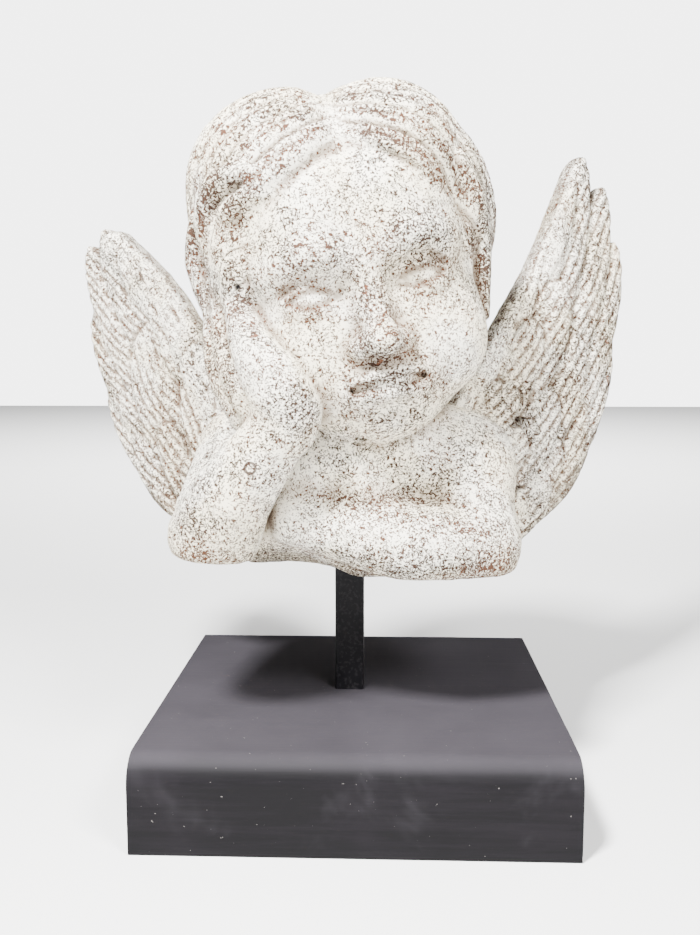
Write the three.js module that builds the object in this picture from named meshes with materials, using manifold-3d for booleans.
// A putto's head and folded arms with a pair of wings, cast in one piece, on a square steel bar that
// stands in a black-painted wooden block. Millimetres, +Z up, the putto looks along -Y, and the origin is
// the middle of the block's underside.
import * as THREE from "three";
import Module from "manifold-3d";

const wasm = await Module();
wasm.setup();

// ---------------------------------------------------------------- stand
const BASE_WIDTH = 160;
const BASE_DEPTH = 160;
const BASE_HEIGHT = 35.5;
const BASE_ROUND = 10; // radius along the front and back edges of the top
const BASE_ARRIS = 0.8; // softened edge of the two sawn ends
const ROD_SIDE = 12;
const ROD_X = -4;
const ROD_IN_BASE = 20; // depth of the mortise in the block
const ROD_IN_FIGURE = 26; // depth of the socket in the casting
const GLUE_GAP = 0.3;

// ---------------------------------------------------------------- casting
const FIGURE_BOTTOM = 88.5; // level of the casting's underside
const FIGURE_LOW = [-136, -82, 84]; // box that holds the casting
const FIGURE_HIGH = [126, 74, 285];
const MESH_STEP = 2.7; // spacing of the lattice the surface is found on
const FIGURE_TRIANGLES = 9300;

const HEAD_CENTRE = [-7, -15, 215.5];
const HEAD_TURN = [3, -12.5, 10]; // degrees about X, Y and Z
const HEAD_REACH = 105; // nothing of the head is within 20 mm of this sphere
const EYE = [19.5, 35.6, -14]; // centre of the right eyeball, in the head's own axes
const LID_DEPTH = 42; // how far forward the bottom of the almond between the lids lies
const LID_SLANT = 0.4; // it lies further back toward the temple
const LOCK_ANGLE = 0.078; // width of one wave of hair, in radians about a line across the head
const LOCK_CENTRE = [-8, -60]; // where that line lies, forward and up from the middle of the skull
const LOCK_DEPTH = 1.9;
const PARTING_X = 2;

const degrees = (d) => (d * Math.PI) / 180;
const clamp = THREE.MathUtils.clamp;

// ---------------------------------------------------------------- rules for joining shapes
// Every shape is a field: a function of a point that is negative inside and grows by about 1 per mm.

// Union, with a fillet of about k in the corner.
function blend(a, b, k) {
  const h = Math.max(k - Math.abs(a - b), 0) / k;
  return Math.min(a, b) - (h * h * k) / 4;
}

// What is inside both, with the edge rounded by about k.
const common = (a, b, k) => -blend(-a, -b, k);

// a with b cut away.
const carve = (a, b, k) => common(a, -b, k);

function ball(q, centre, radii) {
  const x = (q[0] - centre[0]) / radii[0];
  const y = (q[1] - centre[1]) / radii[1];
  const z = (q[2] - centre[2]) / radii[2];
  const reach = Math.hypot(x, y, z);
  const slope = Math.hypot(x / radii[0], y / radii[1], z / radii[2]);
  return (reach * (reach - 1)) / Math.max(slope, 1e-6);
}

// A tapering round bar along the smooth curve through the points: [points, radii].
function cord(points, radii, spans) {
  const curve = new THREE.CatmullRomCurve3(
    points.map((p) => new THREE.Vector3(p[0], p[1], p[2] ?? 0)),
    false,
    "catmullrom",
    0.5,
  );
  const last = points.length - 1;
  const knots = [];
  for (let i = 0; i <= spans; i++) {
    const s = (i / spans) * last;
    const j = Math.min(Math.floor(s), last - 1);
    const p = curve.getPoint(i / spans);
    knots.push({ at: [p.x, p.y, p.z], radius: radii[j] + (radii[j + 1] - radii[j]) * (s - j) });
  }
  return knots;
}

// Distance to the cord, and the radius of the cord at the nearest point of its middle line.
function nearest(q, knots) {
  let best = Infinity;
  let radius = 0;
  for (let i = 0; i + 1 < knots.length; i++) {
    const a = knots[i].at;
    const b = knots[i + 1].at;
    const along = [b[0] - a[0], b[1] - a[1], b[2] - a[2]];
    const from = [q[0] - a[0], q[1] - a[1], q[2] - a[2]];
    const share = (from[0] * along[0] + from[1] * along[1] + from[2] * along[2])
      / (along[0] ** 2 + along[1] ** 2 + along[2] ** 2);
    const t = Math.min(Math.max(share, 0), 1);
    const gap = Math.hypot(from[0] - t * along[0], from[1] - t * along[1], from[2] - t * along[2]);
    const here = knots[i].radius + (knots[i + 1].radius - knots[i].radius) * t;
    if (gap - here < best) {
      best = gap - here;
      radius = here;
    }
  }
  return [best, radius];
}

const along = (q, knots) => nearest(q, knots)[0];

// ---------------------------------------------------------------- head
// The head's own axes run across it (toward +X), forward out of the face, and up from the middle of
// the skull.
const turn = new THREE.Matrix4().makeRotationFromEuler(
  new THREE.Euler(...HEAD_TURN.map(degrees), "ZYX"),
).elements;

function inHead(p) {
  const x = p[0] - HEAD_CENTRE[0];
  const y = p[1] - HEAD_CENTRE[1];
  const z = p[2] - HEAD_CENTRE[2];
  return [
    turn[0] * x + turn[1] * y + turn[2] * z,
    -(turn[4] * x + turn[5] * y + turn[6] * z),
    turn[8] * x + turn[9] * y + turn[10] * z,
  ];
}

const BROW = cord([[6, 45.5, -2.2], [18, 48, 1.5], [33, 37.5, -2.5]], [2.3, 3.2, 2], 5);
const LID_CREASE = cord([[10, 46.5, -11.5], [19.5, 48.6, -6.2], [30, 41.5, -10.5]], [0.6, 1.2, 0.5], 6);
const NOSE_BRIDGE = cord([[0, 46, -6], [0, 49, -18], [0, 54, -31]], [4, 3.8, 5.2], 4);
const PHILTRUM = cord([[0, 55.6, -38.3], [0, 55, -43]], [1.2, 1.7], 1);
const UPPER_LIP = cord(
  [[0, 52.2, -45.2], [4.5, 52.4, -44.5], [9, 49.6, -45.8], [13.5, 45, -47.6]],
  [2.3, 2.5, 2, 1],
  6,
);
const LOWER_LIP = cord([[0, 51, -50.9], [6, 50, -50.5], [12.5, 45.2, -48.4]], [3.3, 2.9, 1], 5);
const MOUTH = cord([[0, 55.8, -47.6], [7, 52.8, -47.4], [14, 47, -48]], [1.5, 1.4, 1], 5);

// The face and the skull under the hair: a child's, round and even, the same on both sides.
function skin(q) {
  const m = [Math.abs(q[0]), q[1], q[2]];
  let d = ball(q, [0, -4, 4], [50, 52, 50]);
  d = blend(d, ball(q, [0, 12, -26], [44, 36, 42]), 16);
  d = blend(d, ball(m, [22, 25, -38], [22, 20.5, 21]), 12);
  d = blend(d, ball(m, [13, 22, 12], [25, 26, 27]), 14);
  d = blend(d, ball(q, [0, 31, -56], [23, 17, 15]), 8);
  d = carve(d, ball(m, [17.5, 54, -12.5], [12.5, 9.5, 7.5]), 8);
  d = blend(d, along(m, BROW), 10);
  d = eye(d, m);
  d = blend(d, along(q, NOSE_BRIDGE), 7);
  d = blend(d, ball(q, [0, 55.5, -32], [6.6, 6.2, 5.6]), 3.5);
  d = blend(d, ball(m, [7.4, 49.8, -33.7], [4.4, 5.6, 4.2]), 3);
  d = carve(d, ball(m, [3.7, 54.3, -37.8], [1.9, 2.6, 1.7]), 1.6);
  d = blend(d, ball(q, [0, 41, -47], [18, 11.5, 11]), 8);
  d = carve(d, along(q, PHILTRUM), 2.5);
  d = blend(d, along(m, UPPER_LIP), 2.2);
  d = blend(d, along(m, LOWER_LIP), 2.2);
  d = carve(d, along(m, MOUTH), 2);
  return carve(d, ball(q, [0, 52, -57.4], [8, 4, 2.6]), 4);
}

// Lids as a ball that swells from the face, an almond cut through them, and the blank eyeball inside.
function eye(face, m) {
  const x = m[0] - EYE[0];
  const z = m[2] - EYE[2] - 0.05 * x;
  const arch = 1 - (x / 9.8) ** 2;
  const almond = 0.8 * Math.max(z - 3.7 * arch, -3.1 * arch - z);
  let d = blend(face, ball(m, EYE, [12.4, 12.2, 11]), 2.4);
  d = carve(d, Math.max(almond, LID_DEPTH - LID_SLANT * x - m[1]), 0.9);
  d = blend(d, ball(m, EYE, [11.2, 10.6, 9.8]), 0.6);
  return carve(d, along(m, LID_CREASE), 2);
}

const PARTING = cord([[3, 51, 45], [3, 30, 64], [2, -2, 67], [0, -30, 60]], [2.8, 2.6, 2.2, 0.6], 6);
const CURLS = [
  cord(
    [[-24, 43, 31], [-34, 40.5, 33], [-44, 34, 31], [-50, 26, 20], [-49, 23, 6], [-46, 25, -8]],
    [0.8, 3.2, 4.2, 3.8, 3.4, 2.2],
    10,
  ),
  cord(
    [[-25, 44, 23], [-33, 40.5, 25], [-41, 35.5, 21], [-44, 31, 10], [-43, 29, -4]],
    [0.8, 3.2, 3.8, 3.2, 1.8],
    8,
  ),
  cord([[-52, 18, 24], [-56, 12, 8], [-54, 12, -10], [-51, 13, -28]], [2.4, 4.2, 4.2, 2.6], 6),
  cord([[44, 34, 24], [48.5, 29, 10], [50, 21, -10], [47, 20, -34]], [2.5, 4, 3.8, 2], 6),
];

// Round ridge, 0 to 1 high, between each two whole numbers.
const ridge = (x) => Math.sin(Math.PI * x) ** 2;

// A cap of hair parted in the middle: waves run from the parting down to the ears, which they cover.
function hair(q) {
  let d = ball(q, [0, -6, 5], [56, 54, 53]);
  d = blend(d, ball(q, [0, -20, -26], [47, 37, 40]), 16);
  d = blend(d, ball(q, [-16, 2, 28.5], [36.5, 44, 34]), 5);
  d = blend(d, ball(q, [20.5, 2, 27], [32, 44, 32.5]), 5);
  d = blend(d, ball(q, [47, 3, 10], [14, 22, 27]), 7);
  d = blend(d, ball(q, [-46, 4, -18], [9.5, 22, 24]), 8);
  const forward = q[1] - LOCK_CENTRE[0];
  const upward = q[2] - LOCK_CENTRE[1];
  const round = Math.atan2(upward, forward);
  const reach = Math.hypot(upward, forward);
  const x = Math.abs(q[0] - PARTING_X);
  const away = Math.atan2(x, reach);
  const wave = (round - degrees(57) - degrees(13) * Math.exp(-x / 22)) / LOCK_ANGLE
    + 0.25 * Math.sin(5 * away + 2 * round) + 0.01 * q[0];
  // no waves at the parting or at the nape, and shallow ones behind
  const fade = clamp((reach - 14) / 22, 0, 1) * Math.min(x / 8, 1) * clamp((q[1] + 50) / 40, 0.25, 1);
  d -= fade * LOCK_DEPTH * (ridge(wave) - 0.5);
  d = carve(d, along(q, PARTING), 4);
  d = carve(d, ball([Math.abs(q[0] - 1) + 14, q[1], q[2]], [0, 66, -22], [60.5, 62, 64]), 2.5);
  d = blend(d, ball(q, [-42, 24, 8], [9.5, 12, 27]), 5);
  d = blend(d, ball(q, [45, 20, 14], [9, 12, 22]), 5);
  for (const curl of CURLS) d = blend(d, along(q, curl), 2.5);
  return d;
}

function head(p) {
  const q = inHead(p);
  const far = Math.hypot(...q);
  if (far > HEAD_REACH) return far - HEAD_REACH + 20;
  return blend(skin(q), hair(q), 1.4);
}

// ---------------------------------------------------------------- chest, arms and hand
const NECK = cord([[1, -12, 140], [2, -16, 172]], [30, 27], 1);
const FOLDED_UPPER = cord([[44, -10, 130], [46, -24, 106]], [18, 16.5], 1);
const FOLDED_FORE = cord([[47, -28, 101.5], [20, -40, 105], [-24, -38, 113]], [16.5, 15, 9.5], 4);
const RAISED_UPPER = cord([[-47, -6, 134], [-55, -34, 115]], [20, 15.5], 1);
const RAISED_FORE = cord([[-53.5, -44, 109], [-45, -53, 125], [-29, -57, 147]], [17.5, 15, 11.5], 4);

function body(p) {
  let d = ball(p, [-2, -6, 120], [53, 33, 42]);
  d = blend(d, along(p, NECK), 10);
  d = blend(d, ball(p, [39, -8, 133], [22.5, 23, 21.5]), 12);
  d = blend(d, ball(p, [-44, -4, 136], [21.5, 21, 20.5]), 12);
  d = blend(d, ball(p, [0, 4, 98], [54, 26, 18]), 10);
  d = common(d, FIGURE_BOTTOM - p[2], 3);
  const folded = blend(along(p, FOLDED_UPPER), along(p, FOLDED_FORE), 5);
  d = blend(d, common(folded, 92 - p[2], 2.5), 9);
  d = carve(d, ball(p, [-30, -62, 60], [44, 78, 44]), 5); // the arch between the elbow and the folded arm
  const raised = blend(along(p, RAISED_UPPER), along(p, RAISED_FORE), 2.5);
  return blend(d, common(raised, 96 - p[2] - 0.08 * p[0], 2.5), 3);
}

const PALM = cord(
  [[-25, -57, 150], [-27, -60, 164], [-37, -57, 180], [-44, -48, 197]],
  [11, 12, 8, 4.2],
  7,
);
const FINGERS = [
  cord([[-35, -52, 158], [-43, -54, 170], [-48, -48, 184], [-50, -40, 198]], [8.5, 6.5, 5, 3.2], 6),
  cord([[-38, -44, 152], [-48, -45, 166], [-53, -39, 180], [-55, -32, 193]], [8, 6.2, 4.8, 3], 6),
];

// The hand that holds up the cheek, its fingers lying back toward the ear.
function hand(p) {
  const far = Math.hypot(p[0] + 36, p[1] + 50, p[2] - 172);
  if (far > 65) return far - 40;
  let d = blend(ball(p, [-21.5, -58, 157], [9.5, 10, 10.5]), along(p, PALM), 4);
  for (const finger of FINGERS) d = blend(d, along(p, finger), 1);
  return d;
}

// ---------------------------------------------------------------- wings
// Feathers as drawn on the wing's own plane: [root, tip, half width, bend, lift]. The first lies lowest.
const LONG_FEATHERS = {
  right: [
    [[28, -26], [68, 30], 10.5, 6, 0],
    [[36, -20], [78, 74], 10.5, 9.5, 1.2],
    [[40, -4], [82.5, 109], 10, 8, 2.4],
    [[38, 14], [74, 133], 10, 7, 3.6],
    [[31, 26], [62, 145], 10, 4, 4.8],
    [[20, 34], [56.5, 134], 6.5, 3, 6],
  ],
  left: [
    [[26, -26], [62, 28], 10.5, 6, 0],
    [[33, -20], [70, 72], 10.5, 9, 1.2],
    [[36, -4], [71, 108], 10.5, 7, 2.4],
    [[34, 14], [64, 143], 12, 5, 3.6],
    [[26, 26], [52, 148], 12, 2, 4.8],
    [[14, 34], [42, 134], 10, 1, 6],
  ],
};
const SHORT_FEATHERS = {
  right: [
    [[38, -14], [63, 36], 9.5, 4, 5],
    [[38, 4], [59, 66], 10, 4, 6],
    [[26, -24], [48, 20], 9.5, 3, 7],
    [[30, 28], [50, 88], 10, 3, 7.2],
    [[16, -34], [44, 2], 9, 2, 7.6],
    [[28, -2], [45, 40], 9.5, 3, 8],
    [[20, 22], [36, 70], 9, 2, 9],
    [[12, -6], [30, 22], 9, 1, 10.2],
    [[8, 14], [25, 42], 9, 1, 10.8],
  ],
  left: [
    [[44, -12], [60, 34], 8, 4, 3.6],
    [[27, -14], [37.5, 92], 14, 10, 5],
    [[34, -16], [40, 38], 8.5, 2, 7],
    [[24, 2], [11, 74], 10, 3, 7.5],
    [[24, -22], [30, 16], 9, 1, 8.5],
    [[10, -6], [22, 26], 9, 1, 9.5],
  ],
};
const WING_ROOT = [[25, 0, 0], [20, 30, 10]]; // the plain patch that joins the feathers' roots
const WING_BACK = 5; // how far the plain back lies behind the wing's plane

// Edge distance and height of one feather: a leaf that bends to one side, domed across.
function leaf(a, b, [root, tip, half, bend, lift]) {
  const length = Math.hypot(tip[0] - root[0], tip[1] - root[1]);
  const ua = (tip[0] - root[0]) / length;
  const ub = (tip[1] - root[1]) / length;
  const up = (a - root[0]) * ua + (b - root[1]) * ub;
  const s = clamp(up / length, 0, 1);
  const side = (a - root[0]) * ub - (b - root[1]) * ua - bend * 4 * s * (1 - s);
  const taper = Math.sqrt(Math.max(1 - Math.max((s - 0.68) / 0.32, 0) ** 2.2, 0));
  const wide = half * (0.5 + Math.min(s, 0.5)) * taper;
  const over = Math.max(up - length, -up, 0);
  const beyond = Math.abs(side) - wide;
  const edge = over > 0 ? Math.hypot(Math.max(beyond, 0), over) : beyond;
  const x = side / half;
  const height = lift + 1.2 + 0.9 * x - 2.2 * x * x - 2.6 * Math.max(edge + 0.9, 0);
  return [edge, height];
}

// A wing on its own plane: out from the shoulder, up, and forward through its thickness.
function makeWing({ side, root, lean, spread, height, sweep, arm, feathers }) {
  const up = new THREE.Vector3(0, 0.06, 1).normalize();
  const out = new THREE.Vector3(side * Math.cos(sweep), Math.sin(sweep), 0);
  out.addScaledVector(up, -out.dot(up)).normalize();
  const front = new THREE.Vector3().crossVectors(out, up).multiplyScalar(side);
  return (p) => {
    const x = p[0] - root[0];
    const y = p[1] - root[1];
    const z = p[2] - root[2];
    const outward = out.x * x + out.y * y + out.z * z;
    const upward = up.x * x + up.y * y + up.z * z;
    const a = (Math.cos(lean) * outward - Math.sin(lean) * upward) / spread;
    const b = (Math.sin(lean) * outward + Math.cos(lean) * upward) / height;
    const n = front.x * x + front.y * y + front.z * z + 0.0018 * Math.max(a, 0) ** 2 - 1;
    if (Math.abs(n) > 40) return Math.abs(n) - 20;
    const [armEdge, radius] = nearest([a, b, 0], arm);
    const over = Math.min((armEdge + radius) / radius, 1);
    const armTop = 4 + 0.55 * radius * Math.sqrt(1 - over * over) - 2 * Math.max(armEdge, 0);
    const patch = ball([a, b, 0], ...WING_ROOT);
    let outline = blend(armEdge, patch, 3);
    let top = Math.max(armTop, 1, Math.min(1 - patch, 5));
    for (const feather of feathers) {
      const [edge, rise] = leaf(a, b, feather);
      outline = blend(outline, edge, 1);
      top = -blend(-top, -rise, 0.5);
    }
    return common(common(n - top, -n - WING_BACK, 3), 0.9 * outline, 3.5);
  };
}

const rightWing = makeWing({
  side: 1,
  root: [38, 24, 122],
  lean: 0,
  spread: 1.035,
  height: 1,
  sweep: degrees(16),
  arm: cord([[2, 14], [23, 56], [44, 96], [60, 137]], [12, 8.5, 7, 5.5], 8),
  feathers: [...LONG_FEATHERS.right, ...SHORT_FEATHERS.right],
});
const leftWing = makeWing({
  side: -1,
  root: [-46, 22, 124],
  lean: degrees(13),
  spread: 0.89,
  height: 0.835,
  sweep: degrees(12),
  arm: cord([[2, 14], [16, 60], [29, 102], [48, 136]], [13, 12.5, 11.5, 10], 8),
  feathers: [...LONG_FEATHERS.left, ...SHORT_FEATHERS.left],
});

function figure(p) {
  const d = blend(blend(head(p), body(p), 4), hand(p), 4);
  return blend(d, blend(rightWing(p), leftWing(p), 1), 6);
}

// ---------------------------------------------------------------- from a field to a closed mesh
// The six tetrahedra round a cube's long diagonal; corner bits are x, y, z. All turn the same way.
const TETRAHEDRA = [
  [0, 1, 3, 7],
  [0, 5, 1, 7],
  [0, 3, 2, 7],
  [0, 2, 6, 7],
  [0, 4, 5, 7],
  [0, 6, 4, 7],
];
// Which two corners are inside, then which two are outside, for each pattern of two and two.
const PAIRS = {
  3: [0, 1, 2, 3],
  5: [0, 2, 3, 1],
  6: [1, 2, 0, 3],
  9: [0, 3, 1, 2],
  10: [1, 3, 2, 0],
  12: [2, 3, 0, 1],
};

function polygonise(field, low, high, step) {
  const [nx, ny, nz] = low.map((v, i) => Math.ceil((high[i] - v) / step) + 1);
  const stride = [1, nx, nx * ny];
  const value = new Float64Array(nx * ny * nz);
  const place = (at) => [at % nx, Math.floor(at / nx) % ny, Math.floor(at / (nx * ny))];
  for (let at = 0; at < value.length; at++) {
    value[at] = field(place(at).map((v, i) => low[i] + step * v)) || 1e-9;
  }
  const bit = (corner, i) => (corner >> i) & 1;
  const offset = (corner) => stride.reduce((sum, size, i) => sum + size * bit(corner, i), 0);
  const points = [];
  const faces = [];
  const found = new Map();
  // The point where the surface crosses the lattice line between two corners of a cube.
  function crossing(base, c, d) {
    const from = c & d;
    const key = (base + offset(from)) * 8 + (c ^ d);
    if (!found.has(key)) {
      const [a, b] = [base + offset(c), base + offset(d)];
      const t = clamp(value[a] / (value[a] - value[b]), 0.15, 0.85);
      const [pa, pb] = [place(a), place(b)];
      found.set(key, points.length);
      points.push(pa.map((v, i) => low[i] + step * (v + t * (pb[i] - v))));
    }
    return found.get(key);
  }
  for (let k = 0; k + 1 < nz; k++)
    for (let j = 0; j + 1 < ny; j++)
      for (let i = 0; i + 1 < nx; i++) {
        const base = i + j * stride[1] + k * stride[2];
        for (const tet of TETRAHEDRA) {
          let inside = 0;
          tet.forEach((corner, n) => {
            if (value[base + offset(corner)] < 0) inside |= 1 << n;
          });
          if (inside === 0 || inside === 15) continue;
          if (PAIRS[inside]) {
            const [p, q, r, s] = PAIRS[inside].map((n) => tet[n]);
            const loop = [[p, r], [p, s], [q, s], [q, r]].map(([c, d]) => crossing(base, c, d));
            faces.push([loop[0], loop[1], loop[2]], [loop[0], loop[2], loop[3]]);
          } else {
            const alone = [1, 2, 4, 8].includes(inside);
            const n = [1, 2, 4, 8].indexOf(alone ? inside : 15 - inside);
            const ring = [n ^ 1, n ^ 2, n ^ 3].map((other) => crossing(base, tet[n], tet[other]));
            faces.push(alone ? ring : [ring[0], ring[2], ring[1]]);
          }
        }
      }
  return { points, faces };
}

// Moves each point along the field's slope until it lies on the surface.
function settle(points, field, reach) {
  const e = 0.02;
  for (const p of points)
    for (let round = 0; round < 2; round++) {
      const here = field(p);
      const slope = [0, 1, 2].map((i) => {
        const q = [...p];
        q[i] += e;
        return (field(q) - here) / e;
      });
      const steep = Math.max(slope[0] ** 2 + slope[1] ** 2 + slope[2] ** 2, 0.2);
      const size = Math.abs(here) / Math.sqrt(steep);
      const share = Math.min(1, reach / Math.max(size, 1e-9)) * (here / steep);
      for (let i = 0; i < 3; i++) p[i] -= share * slope[i];
    }
}

// Moves each point half way to the middle of its neighbours, which evens out the faces' sizes.
function relax({ points, faces }) {
  const sum = points.map(() => [0, 0, 0, 0]);
  for (const face of faces)
    for (let i = 0; i < 3; i++) {
      const next = points[face[(i + 1) % 3]];
      const here = sum[face[i]];
      for (let j = 0; j < 3; j++) here[j] += next[j];
      here[3] += 1;
    }
  points.forEach((p, v) => {
    for (let j = 0; j < 3; j++) p[j] = (p[j] + sum[v][j] / sum[v][3]) / 2;
  });
}

// ---------------------------------------------------------------- fewer faces, same form
// The face and hands keep more faces than the plain back: this is how much a shape error counts there.
const detail = (p) => (p[1] < -25 && p[2] > 140 ? 4 : 1);

const minus = (a, b) => [a[0] - b[0], a[1] - b[1], a[2] - b[2]];
const dot = (a, b) => a[0] * b[0] + a[1] * b[1] + a[2] * b[2];
const cross = (a, b) => [
  a[1] * b[2] - a[2] * b[1],
  a[2] * b[0] - a[0] * b[2],
  a[0] * b[1] - a[1] * b[0],
];

// Adds a squared distance, weight * (n . x + d) ** 2, to a sum of them kept as ten numbers.
function addPlane(sum, n, d, weight) {
  const row = [...n, d];
  let at = 0;
  for (let i = 0; i < 4; i++)
    for (let j = i; j < 4; j++) {
      sum[at] += weight * row[i] * row[j];
      at += 1;
    }
}

// The point where a sum of squared distances is least, and that least value.
function lowest(s) {
  const rows = [[s[0], s[1], s[2]], [s[1], s[4], s[5]], [s[2], s[5], s[7]]];
  const right = [-s[3], -s[6], -s[8]];
  const whole = dot(rows[0], cross(rows[1], rows[2]));
  const x = [0, 1, 2].map((i) => {
    const [a, b, c] = rows.map((row, j) => row.map((v, k) => (k === i ? right[j] : v)));
    return dot(a, cross(b, c)) / whole;
  });
  return { x, cost: s[9] - dot(right, x) };
}

// Unit normal of a triangle, and its height against its longest side.
function shape([a, b, c]) {
  const sides = [minus(b, a), minus(c, b), minus(a, c)];
  const longest = Math.max(...sides.map((side) => Math.hypot(...side)));
  const normal = cross(sides[0], sides[1]);
  const size = Math.max(Math.hypot(...normal), 1e-12);
  return { normal: normal.map((v) => v / size), quality: size / longest ** 2 };
}

class Queue {
  items = [];
  push(item) {
    const list = this.items;
    let at = list.push(item) - 1;
    while (at > 0 && list[(at - 1) >> 1].cost > item.cost) {
      list[at] = list[(at - 1) >> 1];
      at = (at - 1) >> 1;
    }
    list[at] = item;
  }
  pop() {
    const list = this.items;
    const first = list[0];
    const item = list.pop();
    if (!list.length) return first;
    let at = 0;
    for (;;) {
      let child = 2 * at + 1;
      if (child >= list.length) break;
      if (child + 1 < list.length && list[child + 1].cost < list[child].cost) child += 1;
      if (list[child].cost >= item.cost) break;
      list[at] = list[child];
      at = child;
    }
    list[at] = item;
    return first;
  }
}

// Collapses edges, cheapest first, each to the point nearest the planes of all the faces it stands for.
function simplify({ points, faces }, target) {
  const round = points.map(() => new Set());
  const sums = points.map(() => new Float64Array(10));
  const age = new Int32Array(points.length);
  faces.forEach((face, f) => {
    const [a, b, c] = face.map((v) => points[v]);
    const normal = cross(minus(b, a), minus(c, a));
    const area = Math.hypot(...normal) / 2;
    const unit = normal.map((v) => v / Math.max(2 * area, 1e-12));
    for (const v of face) {
      const weight = area * detail(points[v]);
      round[v].add(f);
      addPlane(sums[v], unit, -dot(unit, a), weight);
      for (let i = 0; i < 3; i++) {
        addPlane(sums[v], [0, 1, 2].map((j) => Number(i === j)), -points[v][i], weight * 2e-3);
      }
    }
  });
  const queue = new Queue();
  function offer(a, b) {
    const { x, cost } = lowest(sums[a].map((v, i) => v + sums[b][i]));
    queue.push({ a, b, x, cost, age: age[a] + age[b] });
  }
  const beside = (v) => {
    const found = new Set();
    for (const f of round[v]) for (const w of faces[f]) found.add(w);
    found.delete(v);
    return found;
  };
  // A face may not turn over, or become more of a sliver, when one of its corners moves to x.
  function keepsShape(moved, other, x) {
    for (const f of round[moved]) {
      if (faces[f].includes(other)) continue;
      const old = shape(faces[f].map((v) => points[v]));
      const now = shape(faces[f].map((v) => (v === moved ? x : points[v])));
      if (old.quality > 0.05 && dot(old.normal, now.normal) < 0.3) return false;
      if (now.quality < Math.min(0.12, old.quality)) return false;
    }
    return true;
  }
  for (const face of faces)
    face.forEach((v, i) => {
      const w = face[(i + 1) % 3];
      if (v < w) offer(v, w);
    });
  let left = faces.length;
  while (left > target && queue.items.length) {
    const { a, b, x, age: stamp } = queue.pop();
    if (age[a] < 0 || age[b] < 0 || stamp !== age[a] + age[b]) continue;
    const near = beside(b);
    if ([...beside(a)].filter((v) => near.has(v)).length !== 2) continue;
    if (!keepsShape(a, b, x) || !keepsShape(b, a, x)) continue;
    for (const f of [...round[b]]) {
      if (faces[f].includes(a)) {
        for (const v of faces[f]) round[v].delete(f);
        faces[f] = null;
        left -= 1;
      } else {
        faces[f] = faces[f].map((v) => (v === b ? a : v));
        round[a].add(f);
      }
    }
    points[a] = x;
    sums[b].forEach((v, i) => {
      sums[a][i] += v;
    });
    age[b] = -1e9;
    age[a] += 1;
    for (const v of beside(a)) offer(Math.min(a, v), Math.max(a, v));
  }
  return { points, faces: faces.filter(Boolean) };
}

// ---------------------------------------------------------------- solids
function asGeometry({ points, faces }) {
  const geometry = new THREE.BufferGeometry();
  const corners = faces.flatMap((face) => face.flatMap((v) => points[v]));
  geometry.setAttribute("position", new THREE.Float32BufferAttribute(corners, 3));
  return geometry;
}

// A closed three.js geometry as a solid, its equal corners joined.
function asSolid(geometry) {
  const flat = geometry.index ? geometry.toNonIndexed() : geometry;
  const at = flat.attributes.position;
  const places = new Map();
  const vertices = [];
  const triVerts = new Uint32Array(at.count);
  for (let i = 0; i < at.count; i++) {
    const corner = [at.getX(i), at.getY(i), at.getZ(i)];
    const key = corner.map((v) => v.toFixed(4)).join();
    if (!places.has(key)) {
      places.set(key, vertices.length / 3);
      vertices.push(...corner);
    }
    triVerts[i] = places.get(key);
  }
  return new wasm.Manifold(
    new wasm.Mesh({ numProp: 3, vertProperties: new Float32Array(vertices), triVerts }),
  );
}

function fromSolid(solid) {
  const made = solid.getMesh();
  const geometry = new THREE.BufferGeometry();
  geometry.setAttribute("position", new THREE.BufferAttribute(made.vertProperties, 3));
  geometry.setIndex(new THREE.BufferAttribute(made.triVerts, 1));
  geometry.computeVertexNormals();
  return geometry;
}

// A square bar standing on the rod's axis, from one level to another.
function bar(side, bottom, top) {
  return new THREE.BoxGeometry(side, side, top - bottom).translate(ROD_X, 0, (top + bottom) / 2);
}

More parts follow.
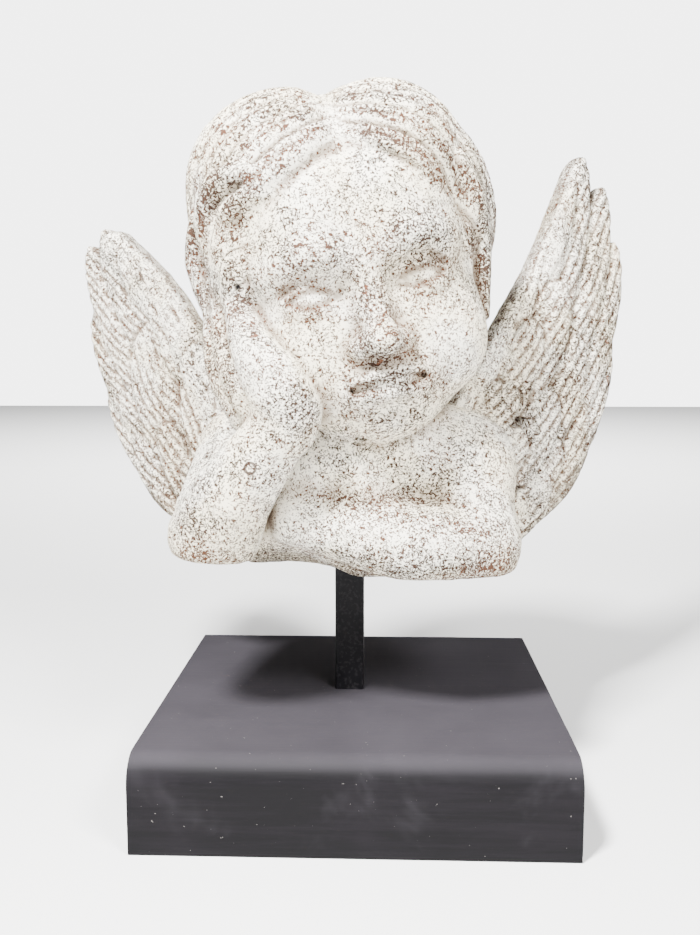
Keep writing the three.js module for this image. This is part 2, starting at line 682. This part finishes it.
// The block's cross-section, front to back, swept along its width.
function block() {
  const half = BASE_DEPTH / 2 - BASE_ARRIS;
  const top = BASE_HEIGHT - BASE_ARRIS;
  const r = BASE_ROUND - BASE_ARRIS;
  const section = new THREE.Shape();
  section.moveTo(-half, BASE_ARRIS);
  section.lineTo(half, BASE_ARRIS);
  section.lineTo(half, top - r);
  section.absarc(half - r, top - r, r, 0, Math.PI / 2);
  section.lineTo(-half + r, top);
  section.absarc(-half + r, top - r, r, Math.PI / 2, Math.PI);
  const length = BASE_WIDTH - 2 * BASE_ARRIS;
  const sweep = new THREE.ExtrudeGeometry(section, {
    depth: length,
    curveSegments: 10,
    bevelEnabled: true,
    bevelSize: BASE_ARRIS,
    bevelThickness: BASE_ARRIS,
    bevelSegments: 2,
  });
  // the section's first axis becomes +Y, its second +Z, and the sweep runs along +X
  const stand = new THREE.Matrix4().set(0, 0, 1, -length / 2, 1, 0, 0, 0, 0, 1, 0, 0, 0, 0, 0, 1);
  return sweep.applyMatrix4(stand);
}

const raw = polygonise(figure, FIGURE_LOW, FIGURE_HIGH, MESH_STEP);
settle(raw.points, figure, MESH_STEP / 2);
relax(raw);
settle(raw.points, figure, MESH_STEP / 2);
const shells = asSolid(asGeometry(simplify(raw, FIGURE_TRIANGLES))).decompose();
const casting = shells.reduce((a, b) => (b.volume() > a.volume() ? b : a)); // pockets inside are left out
const rodBottom = BASE_HEIGHT - ROD_IN_BASE;
const rodTop = FIGURE_BOTTOM + ROD_IN_FIGURE;
const holeSide = ROD_SIDE + 2 * GLUE_GAP;
const socket = asSolid(bar(holeSide, FIGURE_BOTTOM - 20, rodTop));
const mortise = asSolid(bar(holeSide, rodBottom, BASE_HEIGHT + 10));

const WHITEWASH = { color: 0xe3ddd2, roughness: 0.9, metalness: 0 };
const BLACK_STEEL = { color: 0x1f1e20, roughness: 0.55, metalness: 0.2 };
const BLACK_WOOD = { color: 0x34302f, roughness: 0.7, metalness: 0 };

function node(name, geometry, finish) {
  const mesh = new THREE.Mesh(geometry, new THREE.MeshStandardMaterial(finish));
  mesh.name = name;
  return mesh;
}

const group = new THREE.Group();
group.add(
  node("putto_figure", fromSolid(casting.subtract(socket)), WHITEWASH),
  node("stand_rod", bar(ROD_SIDE, rodBottom + GLUE_GAP, rodTop - GLUE_GAP), BLACK_STEEL),
  node("wooden_base", fromSolid(asSolid(block()).subtract(mortise)), BLACK_WOOD),
);

export default group;
